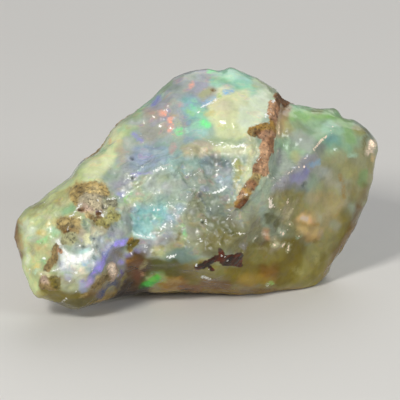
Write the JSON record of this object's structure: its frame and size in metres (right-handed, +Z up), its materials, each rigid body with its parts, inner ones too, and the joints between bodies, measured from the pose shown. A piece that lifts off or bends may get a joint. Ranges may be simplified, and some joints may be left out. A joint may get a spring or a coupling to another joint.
{
  "type": "rough boulder opal",
  "caption": "Rough piece of pale precious opal with sandy brown matrix in its seams, resting on a small flat underneath.",
  "frame": {"origin": "middle of the stone's box, at the level of the flat that it rests on", "axes": "+X to the right along the stone's length, with the left lobe at -X; +Y away from the broad face, to the back; +Z up"},
  "size_m": [0.032, 0.0201, 0.0191],
  "materials": {
    "opal": "gloss"
  },
  "bodies": {
    "root": {"opal_stone": "opal"}
  },
  "joints": []
}
